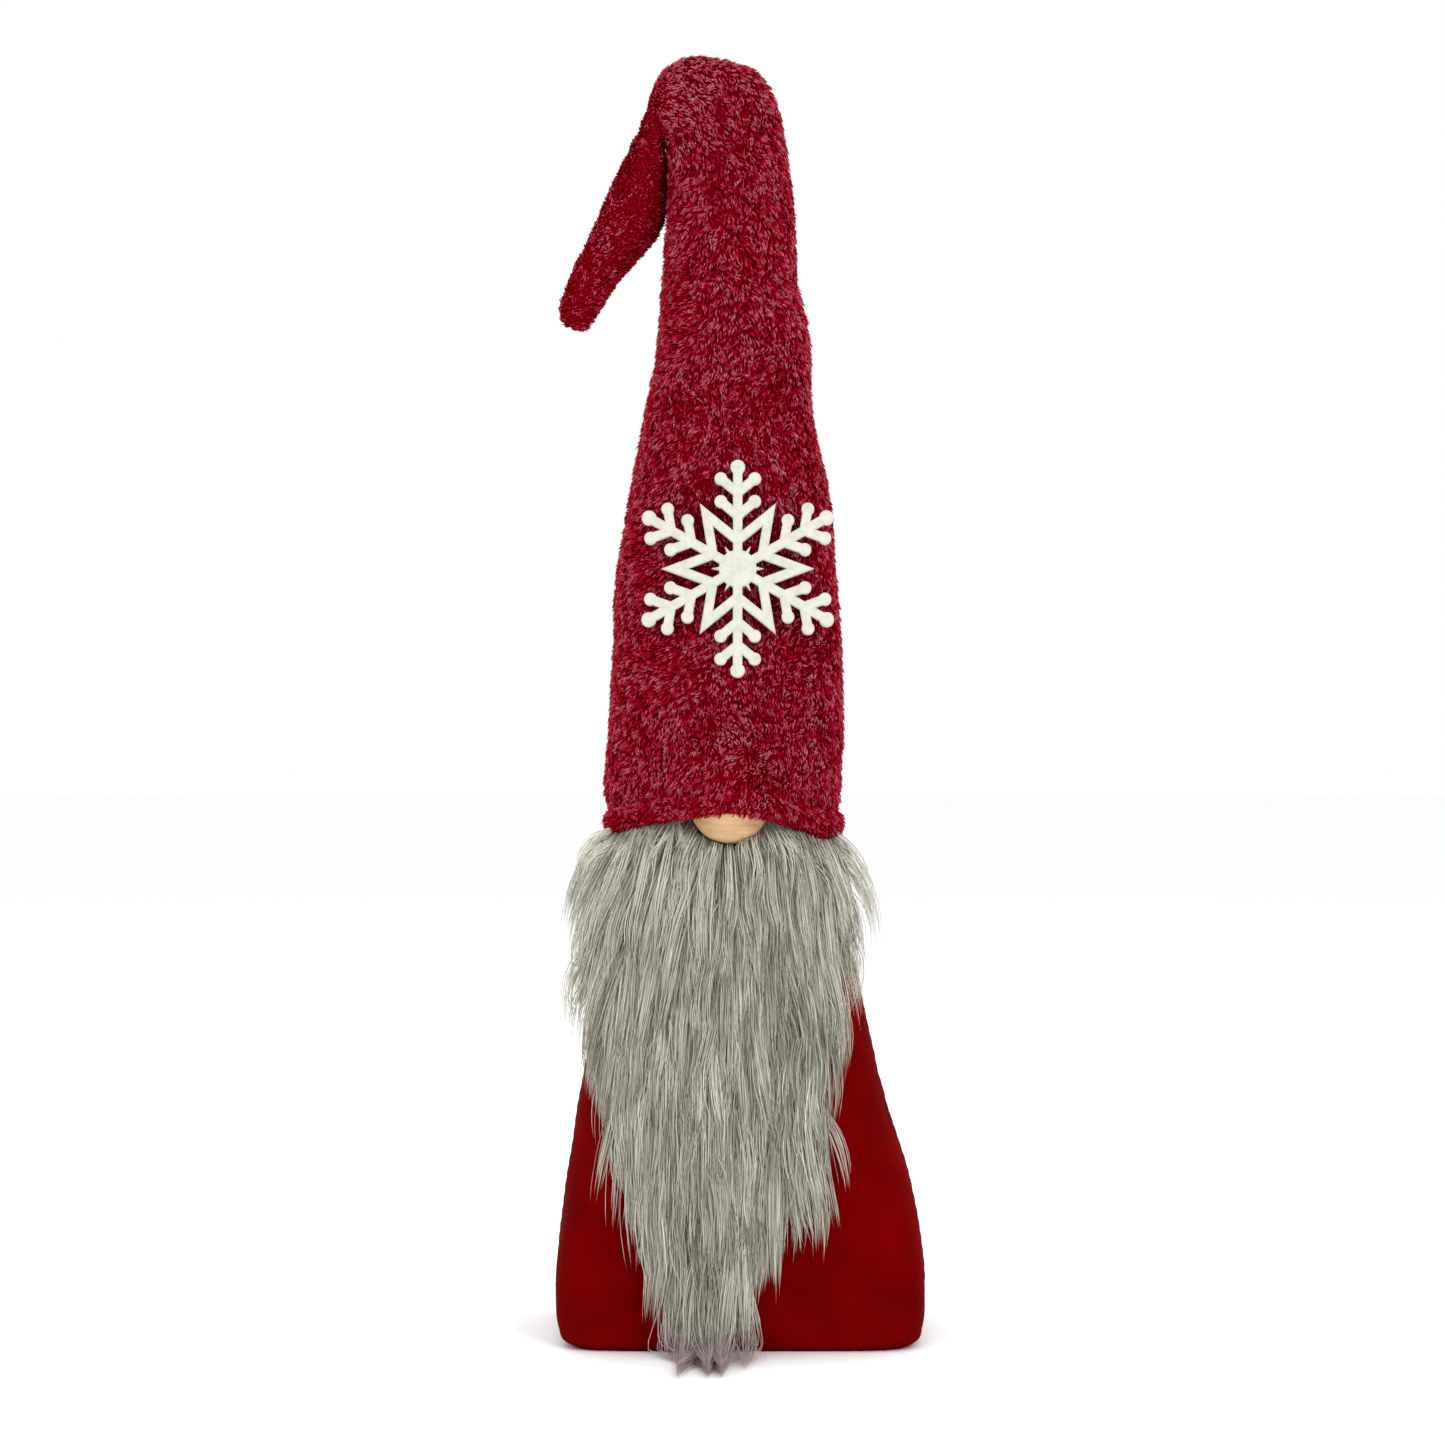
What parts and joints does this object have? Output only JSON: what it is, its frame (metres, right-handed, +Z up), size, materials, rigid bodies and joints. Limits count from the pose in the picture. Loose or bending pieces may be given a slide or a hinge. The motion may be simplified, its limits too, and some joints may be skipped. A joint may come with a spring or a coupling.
{
  "type": "gnome figurine",
  "caption": "Tall soft gnome with a weighted tapering body, long fur beard, ball nose and a stuffed pointed hat with folded tip and snowflake.",
  "frame": {"origin": "middle of the flat base, on the surface that the figurine stands on", "axes": "+Z up along the height, the front with nose and beard faces -Y, +X is the viewer's right"},
  "size_m": [0.1374, 0.134, 0.47],
  "materials": {
    "body_velour": "matte",
    "hat_plush": "matte",
    "beard_fur": "satin",
    "beard_knit": "matte",
    "nose_wood": "satin",
    "flake_paint": "matte",
    "base_card": "matte",
    "bag_cotton": "matte",
    "pellets": "matte",
    "fibre_filling": "matte",
    "tie_cord": "matte",
    "hot_glue": "satin",
    "steel_wire": "satin"
  },
  "bodies": {
    "figure": {"base_cover": "body_velour", "base_board": "base_card", "ballast_bag": "bag_cotton", "ballast_pellets": "pellets", "body_front_panel": "body_velour", "body_back_panel": "body_velour", "body_filling": "fibre_filling", "neck_tie": "tie_cord", "hat_shell": "hat_plush", "hat_filling": "fibre_filling", "hat_wire": "steel_wire", "hat_glue_bead": "hot_glue", "beard_root": "beard_knit", "beard_glue": "hot_glue", "nose": "nose_wood", "nose_glue": "hot_glue", "snowflake": "flake_paint", "snowflake_glue": "hot_glue"},
    "hat_tip": {"hat_tip_shell": "hat_plush", "hat_tip_filling": "fibre_filling", "hat_tip_wire": "steel_wire"},
    "beard": {"beard_backing": "beard_knit", "beard_pile": "beard_fur"}
  },
  "joints": [
    {"name": "hat_tip_fold", "type": "hinge", "parent": "figure", "child": "hat_tip", "pos_m": [-0.0325, 0.006, 0.4425], "axis": [0, 1, 0], "range_deg": [0, 75]},
    {"name": "beard_lift", "type": "hinge", "parent": "figure", "child": "beard", "pos_m": [0, -0.036, 0.181], "axis": [-1, 0, 0], "range_deg": [0, 60]}
  ]
}
